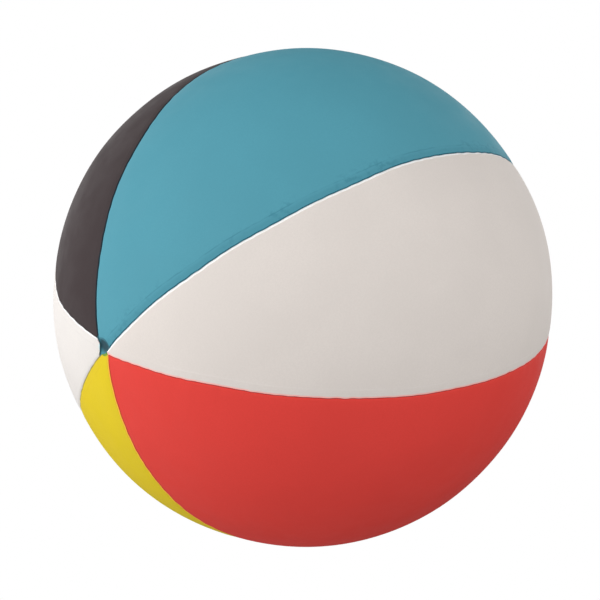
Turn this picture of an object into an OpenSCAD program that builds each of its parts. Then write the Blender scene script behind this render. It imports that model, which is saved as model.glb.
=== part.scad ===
// Inflatable beach ball: six vinyl panels, lap-welded along their edges, with a push-in valve.
// The origin is the centre of the ball, and +Z is up. The six seams meet at two poles, on -X
// and +X. The valve's axis is +Y. The ball is shown full of air, with its valve pushed in.

/* [Ball] */
// Outside diameter of the ball when it is full of air
ball_d = 320; // [240:5:480]
// Thickness of the vinyl film
film_t = 0.3; // [0.2:0.05:0.4]

/* [Panels] */
// Angle of the first seam, charcoal to teal, from straight up towards -Y
first_seam = -12; // [-20:0.5:-4]
// Width of the teal panel, in degrees round the polar axis
teal_w = 60.5; // [50:0.5:73]
// Width of the front white panel, in degrees
white_front_w = 47.5; // [39:0.5:60]
// Width of the red panel, in degrees
red_w = 75; // [62:0.5:90]
// Width of the yellow panel, in degrees
yellow_w = 54; // [45:0.5:65]
// Width of the rear white panel, in degrees (the charcoal panel takes what is left)
white_rear_w = 63.5; // [52:0.5:77]
// Width of the welded lap, where one panel's edge lies under the next
lap_w = 5; // [3:0.5:7]
// How far the lap's doubled film runs on under its own panel
lap_root = 2; // [1:0.5:3]
// Width of the groove between two panels' outer edges, at its widest
seam_groove = 0.2; // [0.15:0.05:0.4]
// Distance from each pole at which the panels' tips stop
tip_gap = 4; // [3:0.5:6]

/* [Pole patches] */
// Diameter of the patch that is welded behind the tips
patch_d = 40; // [34:1:60]
// Gap between a patch and the ends of the laps
patch_gap = 0.3; // [0.2:0.1:1]

/* [Valve base] */
// Angle from the rear white panel's first seam to the valve
valve_at = 45; // [18:0.5:50]
// Width of the flange's ring, which is welded inside the panel
flange_w = 7; // [4:0.5:9]
// Thickness of the flange
flange_t = 0.6; // [0.4:0.1:1]
// Width of the flange's edge that shows inside the hole in the film
flange_shows = 0.5; // [0.2:0.1:1]
// Thickness of the thin skirt that turns inside out
skirt_t = 0.5; // [0.3:0.1:0.7]

/* [Valve stem] */
// Outside diameter of the stem
stem_d = 9; // [7.4:0.1:11]
// Diameter of the stem's bore
bore_d = 6; // [5:0.1:7.2]
// Length of the stem
stem_len = 12; // [10:0.5:16]
// How far the foot, which the skirt joins, stands out from the stem
foot_w = 2; // [1.5:0.1:2.5]
// Thickness of the foot
foot_t = 0.8; // [0.6:0.1:1.2]
// Radius of the round bead below the stem's rim
bead_r = 0.7; // [0.4:0.1:0.9]

/* [Plug] */
// Radial play between the plug and the bore
plug_play = 0.05; // [0.02:0.01:0.1]
// Length of the plug's shank
shank_len = 6; // [4.5:0.5:8]
// Diameter of the plug's head
head_d = 10.4; // [8.6:0.1:12.6]
// Thickness of the plug's head
head_t = 1.6; // [1.3:0.1:2]
// How far the head's top lies below the surface of the ball
head_sunk = 0.5; // [0.3:0.1:1]
// Length of the pull tab beyond the head
tab_len = 3; // [2.4:0.1:3.6]
// Width of the pull tab
tab_w = 4.4; // [3.6:0.1:5.4]
// Width of the strap that keeps the plug on the stem
strap_w = 3; // [2:0.5:4]
// Thickness of the strap
strap_t = 0.7; // [0.5:0.05:0.9]
// Radius of the strap's loop, at the middle of its thickness
loop_r = 2.1; // [1.7:0.05:2.6]
// Gap between the strap's loop and the skirt round it
loop_play = 0.5; // [0.4:0.1:1.5]

/* [Check flap] */
// How far the flap reaches past the bore all round
flap_over = 1; // [0.6:0.1:1.4]
// Thickness of the flap
flap_t = 0.4; // [0.3:0.1:0.6]

/* [Hidden] */
$fn = 180;

teal = "#5CA5B8";
white = "#E6E0DC";
red = "#DE4340";
yellow = "#E6C631";
charcoal = "#564D4E";
clear_vinyl = "#D9DEDC";

ball_r = ball_d / 2;
patch_r = patch_d / 2;
stem_r = stem_d / 2;
bore_r = bore_d / 2;
head_r = head_d / 2;
foot_r = stem_r + foot_w;
flap_r = bore_r + flap_over;
edge_a = seam_groove / 2 / ball_r * 180 / PI;   // each panel's share of the groove, in degrees
past = 1;                                // how far a cutter runs past what it cuts

// where each panel starts, going round the polar axis
teal_a = first_seam;
white_front_a = teal_a + teal_w;
red_a = white_front_a + white_front_w;
yellow_a = red_a + red_w;
white_rear_a = yellow_a + yellow_w;
charcoal_a = white_rear_a + white_rear_w;
charcoal_w = first_seam + 360 - charcoal_a;
valve_a = white_rear_a + valve_at;

// heights along the valve's axis, from the centre of the ball
head_top = ball_r - head_sunk;
rim_z = head_top - head_t;               // top of the stem
foot_z = rim_z - stem_len;               // underside of the stem

// the strap's loop stands beside the stem, level with its rim, and is open towards the stem
tongue = 0.5;                            // reach of the tongues past the head or the bead
loop_gap = loop_r * sqrt(0.5);           // half of the gap between the loop's two ends
tongue_end = max(head_r, stem_r + bead_r / 2) + tongue;
loop_x = tongue_end + loop_gap;
loop_z = rim_z + head_t / 2 - loop_gap;

// the well is wide enough for the loop, down to the loop's lower side
well_r = loop_x + loop_r + strap_t / 2 + loop_play + skirt_t;
narrowing_z = loop_z - loop_r - strap_t / 2;
mouth_z = sqrt(pow(ball_r - film_t, 2) - pow(well_r, 2));   // upper edge of the flange's mouth

// Turns the panels' own frame, with the pole on z, into the ball's frame.
module to_ball() rotate([0, 90, 0]) rotate([0, 0, 180]) children();

// Turns the valve's own frame, with its axis on z, into the ball's frame.
module to_valve() to_ball() rotate([0, 0, valve_a]) rotate([0, 90, 0]) rotate([0, 0, 180]) children();

// A shell of film about z, from one angle to another, open round the poles.
module film(inner_r, outer_r, from, to) {
    rotate([0, 0, from])
        rotate_extrude(angle = to - from)
            intersection() {
                difference() {
                    circle(r = outer_r);
                    circle(r = inner_r);
                }
                translate([tip_gap, -ball_r]) square([ball_r, ball_d]);
            }
}

// The strip under a seam: it lies under the panel before, and its root is joined to its own.
module lap() {
    spread = asin(lap_w / patch_r) + past;
    difference() {
        intersection() {
            film(ball_r - 2 * film_t, ball_r - film_t / 2, -spread, spread);
            translate([0, -lap_w, -ball_r]) cube([ball_d, lap_w + lap_root, ball_d]);
        }
        film(ball_r - film_t, ball_r, -spread - past, 0);
        cylinder(r = patch_r + patch_gap, h = ball_d, center = true);
    }
}

// One panel. Its first edge is set down by one film and runs on under the panel before it.
module panel(start, width) {
    to_ball() rotate([0, 0, start]) {
        film(ball_r - film_t, ball_r, edge_a, width - edge_a);
        lap();
    }
}

module panel_teal() color(teal) panel(teal_a, teal_w);
module panel_white_front() color(white) panel(white_front_a, white_front_w);
module panel_red() color(red) panel(red_a, red_w);
module panel_yellow() color(yellow) panel(yellow_a, yellow_w);
module panel_charcoal() color(charcoal) panel(charcoal_a, charcoal_w);

// The rear white panel has the hole that the valve works through.
module panel_white_rear() color(white) difference() {
    panel(white_rear_a, white_rear_w);
    to_valve() cylinder(r = well_r + flange_shows, h = ball_r + past);
}

// A round patch of film behind the tips, on the side of X that the sign says.
module pole_patch(sign) color(teal) {
    intersection() {
        difference() {
            sphere(r = ball_r - film_t);
            sphere(r = ball_r - 2 * film_t);
        }
        rotate([0, sign * 90, 0]) cylinder(r = patch_r, h = ball_r);
    }
}

// A disc that follows the curve of the ball, with the well's mouth through it.
module valve_flange() color(clear_vinyl) to_valve() {
    intersection() {
        difference() {
            sphere(r = ball_r - film_t);
            sphere(r = ball_r - film_t - flange_t);
        }
        difference() {
            cylinder(r = well_r + flange_w, h = ball_r);
            cylinder(r = well_r, h = ball_r + past);
        }
    }
}

// The thin wall between the flange and the stem's foot, turned inwards: straight, then a cone.
module valve_skirt() color(clear_vinyl) to_valve() rotate_extrude() polygon([
    [foot_r, foot_z],
    [foot_r + skirt_t, foot_z],
    [foot_r + skirt_t, foot_z + foot_t],
    [well_r, narrowing_z],
    [well_r, mouth_z],
    [well_r - skirt_t, mouth_z],
    [well_r - skirt_t, narrowing_z],
    [foot_r, foot_z + foot_t]
]);

// The tube that is blown into, with a round bead near its rim and a foot for the skirt.
module valve_stem() color(clear_vinyl) to_valve() {
    bead_drop = 0.15;
    difference() {
        union() {
            translate([0, 0, foot_z]) cylinder(r = stem_r, h = stem_len);
            translate([0, 0, foot_z]) cylinder(r = foot_r, h = foot_t);
            translate([0, 0, rim_z - bead_r - bead_drop])
                rotate_extrude() translate([stem_r - bead_r / 2, 0]) circle(r = bead_r);
        }
        translate([0, 0, foot_z - past]) cylinder(r = bore_r, h = stem_len + 2 * past);
    }
    strap_tongue(stem_r - bead_r / 2, loop_z - loop_gap);
}

// A flat tongue from the stem or the plug out to an end of the strap, centred at a height.
module strap_tongue(from, height) {
    translate([from, -strap_w / 2, height - strap_t / 2]) cube([tongue_end - from, strap_w, strap_t]);
}

// The stopper: a shank that fits the bore, a dished head and a tab to pull it by.
module valve_plug() color(clear_vinyl) to_valve() {
    shank_r = bore_r - plug_play;
    lead = shank_r / 2;
    dish = head_t / 3;
    dish_r = (pow(shank_r, 2) + pow(dish, 2)) / (2 * dish);
    difference() {
        union() {
            translate([0, 0, rim_z]) rotate_extrude() {
                square([head_r - head_t / 2, head_t]);
                translate([head_r - head_t / 2, head_t / 2]) circle(d = head_t);
            }
            translate([0, 0, rim_z - shank_len + lead]) cylinder(r = shank_r, h = shank_len);
            translate([0, 0, rim_z - shank_len]) cylinder(r1 = shank_r - lead / 3, r2 = shank_r, h = lead);
            translate([0, 0, rim_z + head_t / 4]) linear_extrude(head_t / 2) pull_tab();
        }
        translate([0, 0, head_top + dish_r - dish]) sphere(r = dish_r);
    }
    strap_tongue(shank_r, loop_z + loop_gap);
}

// The outline of the pull tab: straight sides and a round end, opposite the strap.
module pull_tab() {
    straight = head_r + tab_len - tab_w / 2;
    translate([-straight, -tab_w / 2]) square([straight, tab_w]);
    translate([-straight, 0]) circle(d = tab_w);
}

// A flat strap bent into a loop, with one end on the stem and the other on the plug.
module plug_strap() color(clear_vinyl) to_valve() {
    translate([0, strap_w / 2, 0]) rotate([90, 0, 0]) linear_extrude(strap_w)
        difference() {
            translate([loop_x, loop_z]) circle(r = loop_r + strap_t / 2);
            translate([loop_x, loop_z]) circle(r = loop_r - strap_t / 2);
            square([tongue_end, ball_r]);
        }
}

// A flap of film under the bore, hinged on its straight edge.
module check_flap() color(clear_vinyl) to_valve() translate([0, 0, foot_z - flap_t]) {
    cylinder(r = flap_r, h = flap_t);
    translate([-flap_r, -flap_r, 0]) cube([flap_r, 2 * flap_r, flap_t]);
}

panel_teal();
panel_white_front();
panel_red();
panel_yellow();
panel_white_rear();
panel_charcoal();
pole_patch(-1);  // pole_patch_left
pole_patch(1);  // pole_patch_right
valve_flange();
valve_skirt();
valve_stem();
valve_plug();
plug_strap();
check_flap();
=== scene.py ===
"""An inflatable beach ball: six welded vinyl panels, a patch behind each pole, and a push-in valve.

Metres. The seams meet at two poles, on -X and +X. The valve's axis is +Y.
A seam's angle goes round the X axis, from straight up towards -Y. A polar angle is measured at the
ball's centre from the left pole, -X, so polar * BALL_R is the distance from that pole along a seam.
"""
import math

import bmesh
import bpy
import numpy as np
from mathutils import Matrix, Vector


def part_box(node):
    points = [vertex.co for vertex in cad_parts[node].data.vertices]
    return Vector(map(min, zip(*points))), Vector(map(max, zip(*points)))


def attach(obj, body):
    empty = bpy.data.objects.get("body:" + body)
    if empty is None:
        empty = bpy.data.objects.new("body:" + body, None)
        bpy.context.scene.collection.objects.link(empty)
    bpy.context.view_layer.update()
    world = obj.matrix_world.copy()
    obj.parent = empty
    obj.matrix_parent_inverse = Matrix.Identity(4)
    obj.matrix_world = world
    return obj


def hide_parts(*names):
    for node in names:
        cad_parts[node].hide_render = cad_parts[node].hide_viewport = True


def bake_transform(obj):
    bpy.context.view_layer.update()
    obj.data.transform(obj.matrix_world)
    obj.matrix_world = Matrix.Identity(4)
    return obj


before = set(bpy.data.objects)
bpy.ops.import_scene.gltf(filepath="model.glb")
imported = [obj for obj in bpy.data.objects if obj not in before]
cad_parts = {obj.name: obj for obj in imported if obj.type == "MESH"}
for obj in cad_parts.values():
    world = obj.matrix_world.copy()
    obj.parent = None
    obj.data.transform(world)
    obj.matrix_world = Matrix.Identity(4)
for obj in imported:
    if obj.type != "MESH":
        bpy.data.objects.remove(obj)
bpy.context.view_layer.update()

MM = 0.001
DEGREE = math.pi / 180

# The ball and its panels
BALL_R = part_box("panel_teal")[1].z
FILM_T = 0.3 * MM
FIRST_SEAM = -12.0         # degrees
LAP_W = 5 * MM
LAP_GAP = 0.06 * MM        # between the two films of a lap
LAP_STEP = 1.5 * MM        # width of the slope by which the lower film goes under the upper one
TIP_R = 3.0 * MM           # rounding of the corners of a tip
TIP_FADE = 8 * MM          # how far from the tip the film takes up a straight cut
MAX_ASIDE = 1.15           # radians from a tip's middle that a straight cut is followed to
TIP_CALM = 25 * MM         # distance from a pole's axis at which laps and waves have their full size
PATCH_R = 20 * MM

# How the tight film differs from a sphere
SAG = 1.0 * MM             # a seam lies lower than the middle of a panel
VALLEY = 0.42 * MM         # depth of the narrow valley along a seam
VALLEY_W = 2.2 * MM
PUCKER = 0.2               # how much that depth varies, as a share of it
PUCKER_LENGTH = 12 * MM
DRAWN = 0.04 * MM          # height of the small folds that are drawn in beside a seam
DRAWN_LENGTH = 9 * MM
SWELL = 0.16 * MM          # height of the broad unevenness of the whole ball
SWELL_LENGTH = 70 * MM
DIMPLE = 1.3 * MM          # depth of the dimple at a pole
DIMPLE_R = 7 * MM
# Painted shade: the patch is painted darkest this far above the pole, standing for the shadow in the
# dimple.
PAINTED_SHADE_UP = 2.0 * MM       # how far above a pole its dimple is darkest
LAP_RIDGE = 0.07 * MM      # height of the line where a lap's hidden edge shows through
LAP_RIDGE_W = 0.45 * MM

# Waves in the cut edge of a seam
EDGE_WAVE = 0.09 * MM
EDGE_WAVE_LENGTH = 9 * MM
EDGE_SWAY = 0.2 * MM
EDGE_SWAY_LENGTH = 60 * MM

# Seeds of the random waves; a seam's own number is added to those of its edge
EDGE_WAVE_SEED = 10
EDGE_SWAY_SEED = 20
PUCKER_SEED = 3
DRAWN_SEED = 5
SWELL_SEED = 7

# The valve, from the CAD
STEM_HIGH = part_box("valve_stem")[1]
SKIRT_LOW, SKIRT_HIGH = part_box("valve_skirt")
FLANGE_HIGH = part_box("valve_flange")[1]
LOOP_LOW, LOOP_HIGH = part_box("plug_strap")
WELL_R = SKIRT_HIGH.z
HOLE_R = WELL_R + 0.5 * MM
FLANGE_R = FLANGE_HIGH.z
FOOT_R = STEM_HIGH.z
FOOT_T = 0.8 * MM
SKIRT_T = 0.5 * MM
WELD_R = (HOLE_R + FLANGE_R) / 2   # the flange's weld is a ring pressed into the film
WELD_W = 2.3 * MM
WELD_DEPTH = 0.1 * MM
RIM_DEPTH = 0.16 * MM      # the film is drawn in along the flange's rim
RIM_W = 0.7 * MM
STRAP_T = 0.7 * MM
VALVE_CALM = 2.4 * FLANGE_R  # the film keeps to the sphere this near to the valve

# Mesh of a panel
ROWS = 520                 # from pole to pole
CROWDING = 0.62            # from 0 to 1: how much closer together the rows lie near the poles
EDGE_BAND = 8 * MM         # width of the band along each edge in which the columns lie closer together
LAP_COLUMNS = 8
EDGE_COLUMNS = 16
FIELD_COLUMNS = 40


def srgb(red, green, blue):
    """A shader's colour from the usual 0 to 255 values."""
    parts = [value / 255 for value in (red, green, blue)]
    return tuple(p / 12.92 if p <= 0.04045 else ((p + 0.055) / 1.055) ** 2.4 for p in parts) + (1.0,)


# Each panel: its width in degrees, its colour, how far from the pole its tip ends in millimetres,
# whether the tip is cut straight across or round the pole, and the marks along its edges. The start
# edge lies under the panel before it, and the end edge over the next one. A mark is a colour and a
# width in millimetres. Where the film is doubled, its tint shows, as strongly as stripe says.
# The dark and grey marks along the seams are painted shadow and shade. They stand for the shadow that
# an upper film's cut edge casts on the film below, and for the shade on that edge. The pink, orange,
# green and pale blue marks are the films' own colours.
PANELS = {
    "teal": {
        "width": 60.5, "colour": srgb(84, 153, 170), "tip": 5.4, "straight_tip": False,
        "start": (srgb(40, 76, 90), 0.55), "end": (srgb(38, 92, 108), 0.65),
        # The tip mark is painted shade where the teal tip dips into the pole's dimple.
        "tip_mark": (srgb(56, 104, 118), 1.4), "tint": srgb(64, 128, 145), "stripe": 0.65,
    },
    "white_front": {
        "width": 47.5, "colour": srgb(221, 213, 207), "tip": 3.2, "straight_tip": False,
        # The start mark, a white strip, is partly a painted highlight where the film tilts up to the
        # light beside the seam, and partly film whitened by the weld.
        "start": (srgb(255, 255, 255), 1.45), "end": (srgb(247, 186, 180), 0.95),
        "tip_mark": (srgb(214, 182, 176), 0.5), "tint": srgb(230, 224, 220), "stripe": 0.2,
    },
    "red": {
        "width": 75.0, "colour": srgb(222, 67, 60), "tip": 5.2, "straight_tip": False,
        "start": (srgb(160, 34, 36), 0.7), "end": (srgb(170, 48, 16), 1.15),
        "tip_mark": (srgb(214, 120, 116), 0.5), "tint": srgb(208, 60, 54), "stripe": 0.3,
    },
    "yellow": {
        "width": 54.0, "colour": srgb(223, 197, 36), "tip": 3.0, "straight_tip": False,
        "start": (srgb(255, 188, 80), 1.15), "end": (srgb(150, 138, 70), 0.75),
        "tip_mark": (srgb(70, 140, 62), 1.5), "tint": srgb(212, 182, 36), "stripe": 0.3,
    },
    "white_rear": {
        "width": 63.5, "colour": srgb(228, 223, 219), "tip": 3.6, "straight_tip": True,
        # The end mark, a white strip, is partly a painted highlight along the cut edge, and partly film
        # whitened by the weld.
        "start": (srgb(180, 176, 156), 0.6), "end": (srgb(255, 255, 255), 0.8),
        "tip_mark": (srgb(186, 226, 232), 0.8), "tint": srgb(216, 210, 206), "stripe": 0.2,
    },
    "charcoal": {
        "width": 59.5, "colour": srgb(64, 55, 56), "tip": 8.0, "straight_tip": False,
        "start": (srgb(46, 38, 40), 0.7), "end": (srgb(28, 40, 48), 0.8),
        "tip_mark": (srgb(40, 44, 50), 0.6), "tint": srgb(60, 52, 53), "stripe": 0.3,
    },
}
LOOKS = list(PANELS.values())
VALVE_PANEL = list(PANELS).index("white_rear")

# Welded by hand, no seam runs quite true. For each: how far it misses the left pole, how far it
# bows aside further on, and where that bow is along the seam from the pole, all in millimetres.
SEAM_DRIFT = [
    (-3.2, 2.6, 130),
    (3.2, -2.0, 225),
    (2.0, 0.5, 150),
    (-4.5, 0.7, 95),
    (-1.2, 0.0, 0),
    (4.6, -6.5, 75),
]
MISS_FADE = 40             # millimetres along the seam in which a miss fades out
BOW_SPREAD = 45            # millimetres to either side of a bow's middle that it reaches


# ---------------------------------------------------------------- shape of the film

def ripple(points, wavelength, seed, waves=12):
    """Smooth noise, mostly from -1 to 1, at an array of points: plane waves of about one wavelength."""
    random = np.random.default_rng(seed)
    total = np.zeros(len(points))
    for _ in range(waves):
        direction = random.normal(size=points.shape[1])
        direction /= np.linalg.norm(direction)
        turns = points @ direction / (wavelength * random.uniform(0.7, 1.5))
        total += np.sin(2 * math.pi * (turns + random.uniform()))
    return total / math.sqrt(waves)


def smooth_step(x):
    """0 below 0, 1 above 1, and a smooth rise between them."""
    x = np.clip(x, 0, 1)
    return x * x * (3 - 2 * x)


def seam_angle(seam, polar):
    """Angle of a seam's cut edge at each polar angle: nearly straight, with drift and small waves."""
    along = (polar * BALL_R)[:, None]
    ring = BALL_R * np.sin(polar)
    kind = seam % len(PANELS)
    wave = EDGE_WAVE * ripple(along, EDGE_WAVE_LENGTH, EDGE_WAVE_SEED + kind)
    wave += EDGE_SWAY * ripple(along, EDGE_SWAY_LENGTH, EDGE_SWAY_SEED + kind)
    miss, bow, bow_at = SEAM_DRIFT[kind]
    from_pole = along[:, 0] / MM
    drift = miss * np.exp(-from_pole / MISS_FADE)
    drift += bow * np.exp(-(((from_pole - bow_at) / BOW_SPREAD) ** 2))
    start = FIRST_SEAM + sum(look["width"] for look in LOOKS[:seam])
    return start * DEGREE + (wave * smooth_step(ring / TIP_CALM) + drift * MM) / ring


def edge_distances(index, points):
    """Distance of each point from the panel's start and end edges, positive inside the panel."""
    unit = points / np.linalg.norm(points, axis=1)[:, None]
    polar = np.arccos(np.clip(-unit[:, 0], -1, 1))
    ring = BALL_R * np.sin(polar)
    start = seam_angle(index, polar)
    end = seam_angle(index + 1, polar)
    middle = (start + end) / 2
    turn = np.arctan2(-unit[:, 1], unit[:, 2])
    turn = middle + (turn - middle + math.pi) % (2 * math.pi) - math.pi
    return (turn - start) * ring, (end - turn) * ring


def relief(index, points):
    """How far the film stands above the sphere, in metres, at points on it."""
    from_start, from_end = edge_distances(index, points)
    share = np.clip(from_start / (from_start + from_end), 0, 1)
    ring = np.hypot(points[:, 1], points[:, 2])
    near = np.minimum(np.abs(from_start), np.abs(from_end))
    along = np.arctan2(ring, -points[:, 0])[:, None] * BALL_R
    sag = SAG * (1 - np.sin(math.pi * share)) * ring / BALL_R
    pucker = 1 + PUCKER * ripple(along, PUCKER_LENGTH, PUCKER_SEED)
    valley = VALLEY * np.exp(-near / VALLEY_W) * pucker
    dimple = DIMPLE * np.exp(-((ring / DIMPLE_R) ** 2))
    drawn = DRAWN * np.exp(-near / DRAWN_LENGTH) * ripple(along, DRAWN_LENGTH, DRAWN_SEED)
    swell = SWELL * ripple(points, SWELL_LENGTH, SWELL_SEED)
    return swell + drawn - sag - valley - dimple


def around_valve(points):
    """Distance of each point from the valve's axis, or far away on the other side of the ball."""
    distance = np.hypot(points[:, 0], points[:, 2])
    return np.where(points[:, 1] > 0, distance, BALL_R)


def film_surface(index, points):
    """Moves points on the sphere to the outer surface of a panel, with its lap under the one before."""
    from_start, from_end = edge_distances(index, points)
    height = relief(index, points)
    width = from_start + from_end
    under = 1 - smooth_step(from_start / np.minimum(LAP_STEP, 0.25 * width))
    height -= (FILM_T + LAP_GAP) * under
    lap_edge = np.exp(-(((from_end - 0.9 * LAP_W) / LAP_RIDGE_W) ** 2))
    height += LAP_RIDGE * lap_edge * smooth_step(width / (8 * LAP_W))
    if index == VALVE_PANEL:
        distance = around_valve(points)
        height *= smooth_step((distance - FLANGE_R) / (VALVE_CALM - FLANGE_R))
        height -= RIM_DEPTH * np.exp(-(((distance - FLANGE_R) / RIM_W) ** 2))
        height -= WELD_DEPTH * smooth_step((WELD_W - np.abs(distance - WELD_R)) / (0.6 * MM))
    unit = points / np.linalg.norm(points, axis=1)[:, None]
    return unit * (BALL_R + height)[:, None]


def columns_across(width, ring):
    """Distance of each column from the start edge, row by row: first the lap, then the panel."""
    near = np.minimum(EDGE_BAND, 0.35 * width)[:, None]
    lap = np.minimum(LAP_W * smooth_step(ring / TIP_CALM), 0.3 * width)[:, None]
    fine = np.linspace(0, 1, EDGE_COLUMNS) ** 1.5
    width = width[:, None]
    return np.concatenate([
        -lap * np.linspace(1, 0, LAP_COLUMNS)[None, :-1],
        near * fine[None, :],
        near + (width - 2 * near) * np.linspace(0, 1, FIELD_COLUMNS)[None, 1:-1],
        width - near * fine[None, ::-1],
    ], axis=1)


def straight_setback(tip, ring, aside):
    """Polar angle by which points at an angle aside from the tip's middle draw back from the pole."""
    aside = np.clip(aside, -MAX_ASIDE, MAX_ASIDE)
    return tip * (1 / np.cos(aside) - 1) * np.exp(-(ring - ring[0]) / TIP_FADE)[:, None]


def round_setback(ring, across, width):
    """Polar angle by which the corners of a tip draw back from the pole."""
    rounding = (2 * across / width - 1) ** 2 * np.exp(-ring / (2 * TIP_R))[:, None]
    return 0.5 * TIP_R / BALL_R * rounding


def panel_grid(index):
    """Points on the sphere that cover a panel and its lap, as rows from pole to pole."""
    look = LOOKS[index]
    tip = look["tip"] * MM / BALL_R
    x = np.linspace(0, 1, ROWS)
    polar = tip + (math.pi - 2 * tip) * (x - CROWDING * np.sin(2 * math.pi * x) / (2 * math.pi))
    ring = BALL_R * np.sin(polar)
    start, end = seam_angle(index, polar), seam_angle(index + 1, polar)
    width = (end - start) * ring
    across = columns_across(width, ring)
    width = width[:, None]
    turn = start[:, None] + across / ring[:, None]
    from_pole = np.where(x < 0.5, 1, -1)[:, None]
    if look["straight_tip"]:
        aside = turn - (start + end)[:, None] / 2
        polar = polar[:, None] + from_pole * straight_setback(tip, ring, aside)
        start = seam_angle(index, polar.ravel()).reshape(polar.shape)
        end = seam_angle(index + 1, polar.ravel()).reshape(polar.shape)
        turn = start + (end - start) * across / width
    else:
        polar = polar[:, None] + from_pole * round_setback(ring, across, width)
    return BALL_R * np.stack(
        [-np.cos(polar), -np.sin(polar) * np.sin(turn), np.sin(polar) * np.cos(turn)], axis=2
    )


# ---------------------------------------------------------------- mesh helpers

def new_object(name, vertices, faces):
    """A smooth-shaded mesh object in the scene."""
    mesh = bpy.data.meshes.new(name)
    mesh.from_pydata([tuple(v) for v in vertices], [], faces)
    mesh.polygons.foreach_set("use_smooth", [True] * len(mesh.polygons))
    obj = bpy.data.objects.new(name, mesh)
    bpy.context.collection.objects.link(obj)
    return obj


def grid_faces(rows, columns, closed=False):
    """Quads of a grid of vertices stored row by row, joined round its columns if it is closed."""
    row, column = np.meshgrid(
        np.arange(rows - 1), np.arange(columns if closed else columns - 1), indexing="ij"
    )
    after = (column + 1) % columns
    corners = [row * columns + column, row * columns + after,
               (row + 1) * columns + after, (row + 1) * columns + column]
    return np.stack(corners, axis=2).reshape(-1, 4).tolist()


def vertices_of(mesh):
    """The mesh's vertices as an array."""
    flat = np.empty(3 * len(mesh.vertices))
    mesh.vertices.foreach_get("co", flat)
    return flat.reshape(-1, 3)


def set_vertices(mesh, points):
    """Puts an array back as the mesh's vertices."""
    mesh.vertices.foreach_set("co", points.reshape(-1))
    mesh.update()


def store(mesh, name, values):
    """Keeps one number per vertex for the material to read."""
    attribute = mesh.attributes.new(name, "FLOAT", "POINT")
    attribute.data.foreach_set("value", values.astype(np.float32))


def sharpen_open_edges(mesh):
    """Marks the edges of an open sheet as sharp, so that its cut edge is crisp once it is thick."""
    cut = bmesh.new()
    cut.from_mesh(mesh)
    for edge in cut.edges:
        edge.smooth = not edge.is_boundary
    cut.to_mesh(mesh)
    cut.free()


def thicken(obj, thickness):
    """Gives an open sheet its thickness, inwards."""
    solid = obj.modifiers.new("thickness", "SOLIDIFY")
    solid.thickness = thickness
    solid.offset = -1
    solid.use_rim = True


def cut_valve_hole(mesh):
    """Opens the round hole that the valve works through, with a fine, exactly round edge."""
    cut = bmesh.new()
    cut.from_mesh(mesh)
    for reach in (FLANGE_R + 4 * MM, FLANGE_R + 2.5 * MM, FLANGE_R + 1.5 * MM):
        local = [e for e in cut.edges if all(
            v.co.y > 0 and math.hypot(v.co.x, v.co.z) < reach for v in e.verts)]
        bmesh.ops.subdivide_edges(cut, edges=local, cuts=1, use_grid_fill=True)
    inside = [v for v in cut.verts if v.co.y > 0 and math.hypot(v.co.x, v.co.z) < HOLE_R]
    bmesh.ops.delete(cut, geom=inside, context="VERTS")
    for vertex in cut.verts:
        distance = math.hypot(vertex.co.x, vertex.co.z)
        if vertex.is_boundary and vertex.co.y > 0 and distance < HOLE_R + 2 * MM:
            vertex.co.x *= HOLE_R / distance
            vertex.co.z *= HOLE_R / distance
            vertex.co.y = math.sqrt(BALL_R ** 2 - HOLE_R ** 2)
    cut.to_mesh(mesh)
    cut.free()


def lathe(name, profile, turns=96):
    """A closed ring about the valve's axis from a closed outline of (radius, height) points."""
    angles = np.linspace(0, 2 * math.pi, turns, endpoint=False)
    vertices = [
        (radius * math.cos(angle), height, radius * math.sin(angle))
        for angle in angles for radius, height in profile
    ]
    count = len(profile)
    faces = [
        (i * count + j, i * count + (j + 1) % count,
         (i + 1) % turns * count + (j + 1) % count, (i + 1) % turns * count + j)
        for i in range(turns) for j in range(count)
    ]
    return new_object(name, vertices, faces)


def thick_path(points, thickness):
    """A closed outline round a path: one side of it out, the other side back."""
    run = np.gradient(points, axis=0)
    run /= np.linalg.norm(run, axis=1)[:, None]
    side = np.stack([-run[:, 1], run[:, 0]], axis=1) * thickness / 2
    return np.concatenate([points + side, (points - side)[::-1]])


# ---------------------------------------------------------------- materials

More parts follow.
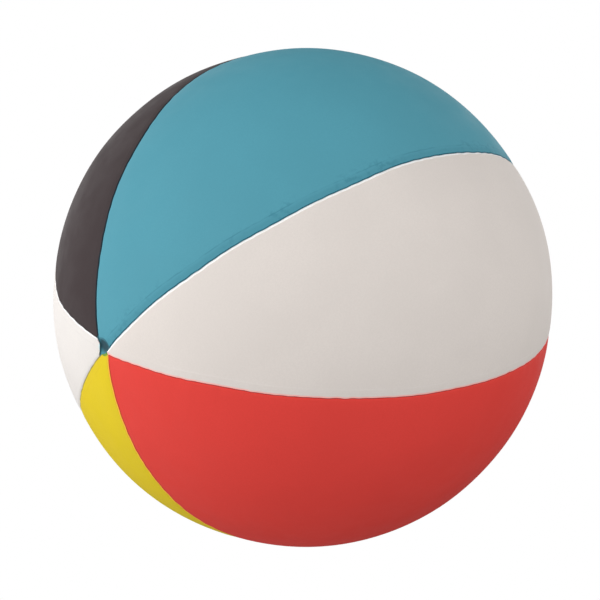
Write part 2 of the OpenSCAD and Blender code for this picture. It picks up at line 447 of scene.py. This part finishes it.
class Shader:
    """A material under construction, with short calls for the nodes that it needs."""

    def __init__(self, name, roughness, specular):
        self.material = bpy.data.materials.new(name)
        self.material.use_nodes = True
        self.nodes = self.material.node_tree.nodes
        self.links = self.material.node_tree.links
        self.surface = self.nodes["Principled BSDF"]
        self.surface.inputs["Roughness"].default_value = roughness
        self.surface.inputs["Specular IOR Level"].default_value = specular
        self.place = self.nodes.new("ShaderNodeTexCoord").outputs["Object"]

    def connect(self, value, socket):
        """Links an output to a socket, or sets the socket's own value."""
        if isinstance(value, bpy.types.NodeSocket):
            self.links.new(value, socket)
        else:
            socket.default_value = value

    def noise(self, scale, detail=2.0):
        """Noise from 0 to 1 in the object's own space, with features about 1/scale metres wide."""
        node = self.nodes.new("ShaderNodeTexNoise")
        node.inputs["Scale"].default_value = scale
        node.inputs["Detail"].default_value = detail
        self.links.new(self.place, node.inputs["Vector"])
        return node.outputs["Fac"]

    def spread(self, value, low, high, to_low=0.0, to_high=1.0):
        """Maps a value smoothly from low..high to to_low..to_high."""
        node = self.nodes.new("ShaderNodeMapRange")
        node.interpolation_type = "SMOOTHSTEP"
        for socket, number in zip(node.inputs[1:5], (low, high, to_low, to_high)):
            socket.default_value = number
        self.connect(value, node.inputs["Value"])
        return node.outputs["Result"]

    def calculate(self, operation, first, second=0.0):
        """One arithmetic step."""
        node = self.nodes.new("ShaderNodeMath")
        node.operation = operation
        self.connect(first, node.inputs[0])
        self.connect(second, node.inputs[1])
        return node.outputs[0]

    def product(self, first, second):
        """Two values multiplied."""
        return self.calculate("MULTIPLY", first, second)

    def mix(self, amount, first, second):
        """The first colour where amount is 0, the second where it is 1."""
        node = self.nodes.new("ShaderNodeMix")
        node.data_type = "RGBA"
        self.connect(amount, node.inputs["Factor"])
        self.connect(first, node.inputs["A"])
        self.connect(second, node.inputs["B"])
        return node.outputs["Result"]

    def attribute(self, name):
        """A number that the mesh keeps at its vertices."""
        node = self.nodes.new("ShaderNodeAttribute")
        node.attribute_name = name
        return node.outputs["Fac"]

    def bump(self, height, distance, strength=1.0):
        """Raises the surface by up to distance metres where height is 1."""
        node = self.nodes.new("ShaderNodeBump")
        node.inputs["Strength"].default_value = strength
        node.inputs["Distance"].default_value = distance
        self.links.new(height, node.inputs["Height"])
        self.links.new(node.outputs["Normal"], self.surface.inputs["Normal"])


def scaled(colour, factor):
    """A colour made darker or lighter."""
    return tuple(min(1.0, part * factor) for part in colour[:3]) + (1.0,)


def film_paint(shader, film):
    """The film's colour, with faint clouding and a fine dark grain."""
    cloud = shader.spread(shader.noise(22, 3), 0.35, 0.65)
    paint = shader.mix(cloud, scaled(film, 0.985), scaled(film, 1.015))
    grain = shader.spread(shader.noise(1100, 1), 0.3, 0.7)
    return shader.mix(shader.product(grain, 0.35), paint, scaled(film, 0.93))


def lap_paint(shader, paint, look):
    """The doubled film shows a little darker, with smudges of weld beside the lap's hidden edge."""
    tint, stripe = look["tint"], look["stripe"]
    from_end = shader.attribute("from_end")
    lap = shader.spread(from_end, 0.5 * LAP_W, 0.95 * LAP_W, 0.5 * stripe, 0.08 * stripe)
    lap = shader.product(lap, shader.spread(from_end, LAP_W, 1.06 * LAP_W, 1, 0))
    paint = shader.mix(lap, paint, tint)
    broken = shader.spread(shader.noise(90, 4), 0.4, 0.6, 0.2 * stripe, stripe)
    offset = shader.calculate("ABSOLUTE", shader.calculate("SUBTRACT", from_end, LAP_W))
    line = shader.product(shader.spread(offset, 0.15 * MM, 0.5 * MM, 1, 0), broken)
    paint = shader.mix(line, paint, tint)
    beside = shader.spread(from_end, LAP_W, 2 * LAP_W, 1, 0)
    smudge = shader.spread(shader.noise(330, 3), 0.5, 0.66, 0, 0.75 * stripe)
    smudge = shader.product(smudge, shader.spread(shader.noise(40, 1), 0.42, 0.6))
    return shader.mix(shader.product(beside, smudge), paint, tint)


def weld_ring_paint(shader, paint, tint):
    """The pressed ring where the valve's flange is welded on."""
    ring = shader.spread(shader.attribute("from_weld"), 0.85 * WELD_W, WELD_W, 0.35, 0)
    return shader.mix(ring, paint, scaled(tint, 0.86))


def edge_paint(shader, paint, look):
    """The lower film next to the seam, the cut edge of the upper film, and the tips, with painted light
    among the marks: dark lines of painted shadow and shade at the seams, white strips partly of painted
    highlight, and painted shade on the teal tip.
    """
    uneven = shader.spread(shader.noise(120, 2), 0.3, 0.55, 0.7, 1)
    for edge, mark in (("from_start", "start"), ("from_end", "end"), ("from_tip", "tip_mark")):
        colour, reach = look[mark]
        line = shader.spread(shader.attribute(edge), 0.75 * reach * MM, 1.15 * reach * MM, 1, 0)
        paint = shader.mix(shader.product(line, uneven), paint, colour)
    return paint


def panel_material(name, look):
    """Matt vinyl film, with the marks of the welds along both edges."""
    shader = Shader("vinyl_" + name, 0.62, 0.09)
    paint = film_paint(shader, look["colour"])
    paint = lap_paint(shader, paint, look)
    paint = weld_ring_paint(shader, paint, look["tint"])
    paint = edge_paint(shader, paint, look)
    shader.links.new(paint, shader.surface.inputs["Base Color"])
    rub = shader.spread(shader.noise(60, 4), 0.3, 0.7, 0.56, 0.68)
    shader.links.new(rub, shader.surface.inputs["Roughness"])
    leather = shader.calculate("ADD", shader.noise(900, 2), shader.product(shader.noise(160, 2), 0.6))
    shader.bump(leather, 0.05 * MM, 0.5)
    return shader.material


def patch_material():
    """The teal film of a patch, with painted shade: dark where it is deepest behind the tips, as if
    shadowed in the dimple.
    """
    shader = Shader("vinyl_patch", 0.62, 0.12)
    grain = shader.spread(shader.noise(1100, 1), 0.3, 0.7, 0.93, 1)
    film = shader.mix(grain, srgb(70, 130, 146), srgb(84, 153, 170))
    # Painted shade: the patch's middle, seen between the tips, is darkened as if in the dimple's
    # shadow.
    dark = shader.spread(shader.attribute("from_painted_shade"), 2.6 * MM, 6.4 * MM, 1, 0)
    paint = shader.mix(dark, film, srgb(48, 78, 88))
    shader.links.new(paint, shader.surface.inputs["Base Color"])
    shader.bump(shader.noise(700, 2), 0.05 * MM, 0.5)
    return shader.material


def valve_material():
    """Milky moulded vinyl, softer and glossier than the film."""
    shader = Shader("vinyl_valve", 0.34, 0.45)
    surface = shader.surface
    surface.inputs["Subsurface Weight"].default_value = 0.25
    surface.inputs["Subsurface Radius"].default_value = (1.0, 1.0, 0.9)
    surface.inputs["Subsurface Scale"].default_value = 1.2 * MM
    milky = shader.spread(shader.noise(260, 3), 0.35, 0.65)
    shader.links.new(
        shader.mix(milky, srgb(216, 221, 218), srgb(231, 234, 231)), surface.inputs["Base Color"])
    touched = shader.spread(shader.noise(900, 3), 0.35, 0.65, 0.28, 0.42)
    shader.links.new(touched, surface.inputs["Roughness"])
    shader.bump(shader.noise(1500, 2), 0.03 * MM, 0.5)
    return shader.material


# ---------------------------------------------------------------- pieces

def build_panel(index, name, look):
    """One panel of film with its wavy cut edge, its lap under the panel before, and its marks."""
    grid = panel_grid(index)
    rows, columns = grid.shape[:2]
    panel = new_object("film_" + name, grid.reshape(-1, 3), grid_faces(rows, columns))
    mesh = panel.data
    if name == "white_rear":
        cut_valve_hole(mesh)
    points = vertices_of(mesh)
    from_start, from_end = edge_distances(index, points)
    store(mesh, "from_start", from_start)
    store(mesh, "from_end", from_end)
    store(mesh, "from_weld", np.abs(around_valve(points) - WELD_R))
    store(mesh, "from_tip", np.hypot(points[:, 1], points[:, 2]) - look["tip"] * MM)
    set_vertices(mesh, film_surface(index, points))
    mesh.flip_normals()
    sharpen_open_edges(mesh)
    thicken(panel, FILM_T)
    mesh.materials.append(panel_material(name, look))

    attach(panel, "ball")
    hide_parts("panel_" + name)


def build_patch(side, name, material):
    """The round patch welded behind the tips at one pole, drawn in with the dimple."""
    turns, rings = 72, 40
    middle_r = 0.2 * MM
    radii = np.linspace(middle_r, PATCH_R, rings)
    angles = np.linspace(0, 2 * math.pi, turns, endpoint=False)
    vertices = []
    for radius in radii:
        depth = 2 * FILM_T + LAP_GAP + VALLEY + SAG * radius / BALL_R
        depth += 1.4 * DIMPLE * math.exp(-((radius / DIMPLE_R) ** 2))
        x = side * math.sqrt((BALL_R - depth) ** 2 - radius ** 2)
        vertices += [(x, radius * math.cos(a), radius * math.sin(a)) for a in angles]
    faces = grid_faces(len(radii), turns, closed=True) + [tuple(range(turns - 1, -1, -1))]
    patch = new_object(name + "_film", vertices, faces)
    if side < 0:
        patch.data.flip_normals()
    points = vertices_of(patch.data)
    # Distance from the darkest point of the painted shade, a little above the pole.
    store(patch.data, "from_painted_shade", np.hypot(points[:, 1], points[:, 2] - PAINTED_SHADE_UP))
    sharpen_open_edges(patch.data)
    thicken(patch, FILM_T)
    patch.data.materials.append(material)

    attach(patch, "ball")
    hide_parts(name)


def build_skirt(material):
    """The thin wall between the flange and the stem's foot, which turns inside out."""
    step, smoothings = 0.3 * MM, 6
    half = SKIRT_T / 2
    foot_y = SKIRT_LOW.y
    bend_y = LOOP_LOW.y
    corners = [(FOOT_R + half, foot_y), (FOOT_R + half, foot_y + FOOT_T),
               (WELL_R - half, bend_y), (WELL_R - half, SKIRT_HIGH.y)]
    path = []
    for (r0, y0), (r1, y1) in zip(corners, corners[1:]):
        steps = max(2, round(math.hypot(r1 - r0, y1 - y0) / step))
        path += [(r0 + (r1 - r0) * i / steps, y0 + (y1 - y0) * i / steps) for i in range(steps)]
    path = np.array(path + [corners[-1]])
    for _ in range(smoothings):
        path[1:-1] = (path[:-2] + 2 * path[1:-1] + path[2:]) / 4
    skirt = lathe("skirt", thick_path(path, SKIRT_T))
    skirt.data.materials.append(material)
    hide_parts("valve_skirt")
    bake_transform(skirt)


def build_strap(material):
    """The flat strap between the stem and the plug: a loop, open towards the valve's axis."""
    middle_y = (LOOP_LOW.y + LOOP_HIGH.y) / 2
    radius = (LOOP_HIGH.y - LOOP_LOW.y) / 2 - STRAP_T / 2
    middle_x = LOOP_HIGH.x - STRAP_T / 2 - radius
    opening = math.pi / 4
    angles = np.linspace(-math.pi + opening, math.pi - opening, 60)  # open round pi
    half_w, half_t = LOOP_HIGH.z, STRAP_T / 2
    section = [
        (half_t * math.copysign(abs(math.cos(a)) ** 0.6, math.cos(a)),
         half_w * math.copysign(abs(math.sin(a)) ** 0.3, math.sin(a)))
        for a in np.linspace(0, 2 * math.pi, 32, endpoint=False)
    ]
    vertices = [
        (middle_x + (radius + out) * math.cos(a), middle_y + (radius + out) * math.sin(a), across)
        for a in angles for out, across in section
    ]
    faces = grid_faces(len(angles), len(section), closed=True)
    count = len(section)
    faces.append(tuple(range(count)))
    faces.append(tuple(range(len(vertices) - 1, len(vertices) - 1 - count, -1)))
    strap = new_object("strap", vertices, faces)
    strap.data.materials.append(material)
    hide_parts("plug_strap")
    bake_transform(strap)


# ---------------------------------------------------------------- camera, light and floor

def camera_axes(azimuth, elevation):
    """The directions to the right, up and towards the camera."""
    a, e = azimuth * DEGREE, elevation * DEGREE
    toward = Vector((math.sin(a) * math.cos(e), -math.cos(a) * math.cos(e), math.sin(e)))
    right = Vector((math.cos(a), math.sin(a), 0))
    return right, toward.cross(right), toward


def add_camera(toward):
    """The camera, close to the ball and a little above its middle."""
    distance = 4.869 * BALL_R
    data = bpy.data.cameras.new("camera")
    data.sensor_width = 36
    data.lens = 71.4
    data.shift_x = -0.005
    data.shift_y = -0.0041
    camera = bpy.data.objects.new("camera", data)
    camera.location = toward * distance
    camera.rotation_mode = "QUATERNION"
    camera.rotation_quaternion = (-toward).to_track_quat("-Z", "Y")
    bpy.context.collection.objects.link(camera)
    bpy.context.scene.camera = camera


def add_light(name, direction, watts):
    """A large square soft box that points at the ball."""
    distance = 1.6
    data = bpy.data.lights.new(name, "AREA")
    data.size = 1.4
    data.energy = watts
    light = bpy.data.objects.new(name, data)
    light.location = direction.normalized() * distance
    light.rotation_mode = "QUATERNION"
    light.rotation_quaternion = direction.to_track_quat("Z", "Y")
    light.visible_camera = False
    bpy.context.collection.objects.link(light)


def add_lights(right, up, toward):
    """Soft boxes: strongest from the upper left, fill from the right and below, two behind the ball."""
    boxes = {
        "key": ((-1.0, 0.6, 0.5), 12.8),
        "front": ((-0.5, 0.2, 1.0), 9.2),
        "side": ((-1.0, 0.0, 0.0), 4.6),
        "low_side": ((-1.0, -0.7, 0.1), 7.6),
        "fill": ((0.9, 0.4, 0.6), 12.9),
        "low_fill": ((0.3, -0.6, 0.5), 5.0),
        "back_left": ((-0.7, 0.5, -1.0), 7.0),
        "back_right": ((0.8, 0.4, -1.0), 7.0),
    }
    for name, ((x, y, z), watts) in boxes.items():
        add_light(name, right * x + up * y + toward * z, watts)
    world = bpy.data.worlds.new("studio")
    world.use_nodes = True
    background = world.node_tree.nodes["Background"]
    background.inputs["Color"].default_value = (1, 1, 1, 1)
    background.inputs["Strength"].default_value = 0.225
    bpy.context.scene.world = world


def add_floor():
    """A white floor that sweeps up into a dome, with no corner and no shadow."""
    reach, corner, dome = 3.0, 1.0, 3
    profile = [(reach * i / 12, 0) for i in range(12)]
    profile += [
        (reach + corner * math.sin(a), corner * (1 - math.cos(a)))
        for a in np.linspace(0, math.pi / 2, 10)
    ]
    profile += [
        ((reach + corner) * math.cos(a), corner + dome * math.sin(a))
        for a in np.linspace(0, math.pi / 2, 16)[1:]
    ]
    turns = 64
    vertices = [
        (r * math.cos(a), r * math.sin(a), z - BALL_R)
        for r, z in profile for a in np.linspace(0, 2 * math.pi, turns, endpoint=False)
    ]
    floor = new_object("floor", vertices, grid_faces(len(profile), turns, closed=True))
    material = bpy.data.materials.new("white_floor")
    material.use_nodes = True
    surface = material.node_tree.nodes["Principled BSDF"]
    surface.inputs["Base Color"].default_value = (0, 0, 0, 1)
    surface.inputs["Specular IOR Level"].default_value = 0
    surface.inputs["Emission Color"].default_value = (1, 1, 1, 1)
    surface.inputs["Emission Strength"].default_value = 1
    floor.data.materials.append(material)
    floor.visible_diffuse = False
    floor.visible_glossy = False
    floor.visible_shadow = False
    floor.visible_transmission = False


def main():
    """Builds every piece, the floor, the lights and the camera."""
    right, up, toward = camera_axes(-45, 14.84)
    add_camera(toward)
    for index, (name, look) in enumerate(PANELS.items()):
        build_panel(index, name, look)
    teal_patch = patch_material()
    build_patch(-1, "pole_patch_left", teal_patch)
    build_patch(1, "pole_patch_right", teal_patch)
    moulded = valve_material()
    build_skirt(moulded)
    build_strap(moulded)
    for node in ("valve_flange", "valve_stem", "valve_plug", "check_flap"):
        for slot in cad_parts[node].material_slots:
            slot.material = moulded
    add_lights(right, up, toward)
    add_floor()
    bpy.context.scene.view_settings.view_transform = "Standard"


main()
